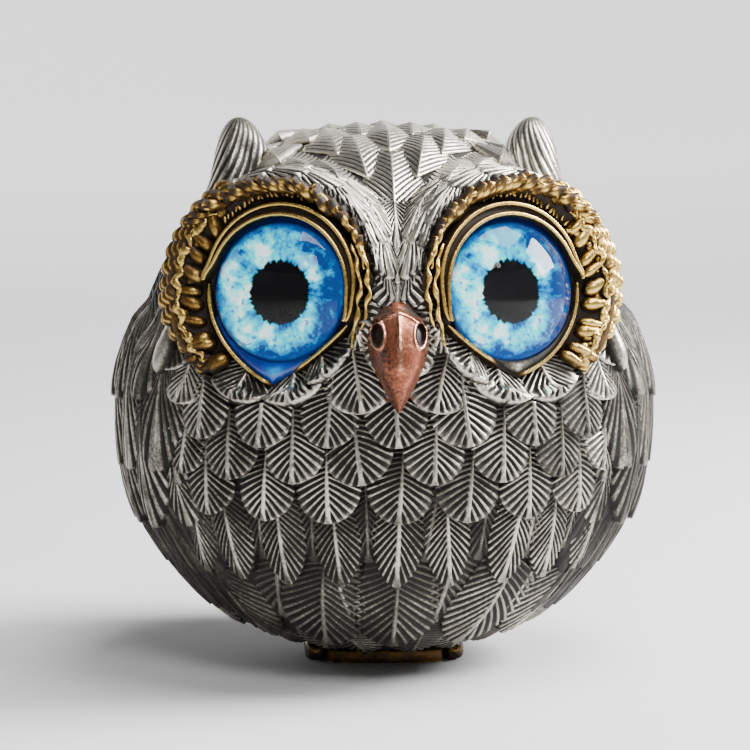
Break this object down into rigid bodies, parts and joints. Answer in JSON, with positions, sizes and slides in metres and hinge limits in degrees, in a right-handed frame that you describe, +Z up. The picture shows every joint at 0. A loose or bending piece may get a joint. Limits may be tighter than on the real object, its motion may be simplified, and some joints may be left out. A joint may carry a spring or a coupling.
{
  "type": "owl figurine",
  "caption": "Round owl figurine with overlapping cast feathers, side wings, glass cabochon eyes in brass ruffs, a copper beak and a flat brass foot",
  "frame": {"origin": "on the ground, in the middle of the object's base outline", "axes": "+Z up, the owl's face looks along -Y, +X is the owl's own left"},
  "size_m": [0.0804, 0.079, 0.0806],
  "materials": {
    "silver_cast": "cold-cast metal-filled resin, antiqued silver with near-black grooves and buffed high points",
    "copper": "cold-cast copper, mottled and buffed",
    "antique_brass": "antiqued brass with brown recesses",
    "clear_glass": "polished clear glass dome",
    "iris_print": "blue mottled iris with a black pupil, glossy under the glass",
    "blue_enamel": "poured blue enamel"
  },
  "bodies": {
    "root": {"body_casting": "silver_cast", "wing_left": "silver_cast", "wing_right": "silver_cast", "ear_tuft_left": "silver_cast", "ear_tuft_right": "silver_cast", "tail": "silver_cast", "beak": "copper", "eye_ruff_left": "antique_brass", "eye_ruff_right": "antique_brass", "upper_lid_left": "antique_brass", "upper_lid_right": "antique_brass", "lower_lid_left": "antique_brass", "lower_lid_right": "antique_brass", "eye_cup_left": "antique_brass", "eye_cup_right": "antique_brass", "eye_glass_left": "clear_glass", "eye_glass_right": "clear_glass", "iris_disc_left": "iris_print", "iris_disc_right": "iris_print", "corner_enamel_right": "blue_enamel", "foot_plate": "antique_brass", "toes_left": "antique_brass", "toes_right": "antique_brass"}
  },
  "joints": []
}
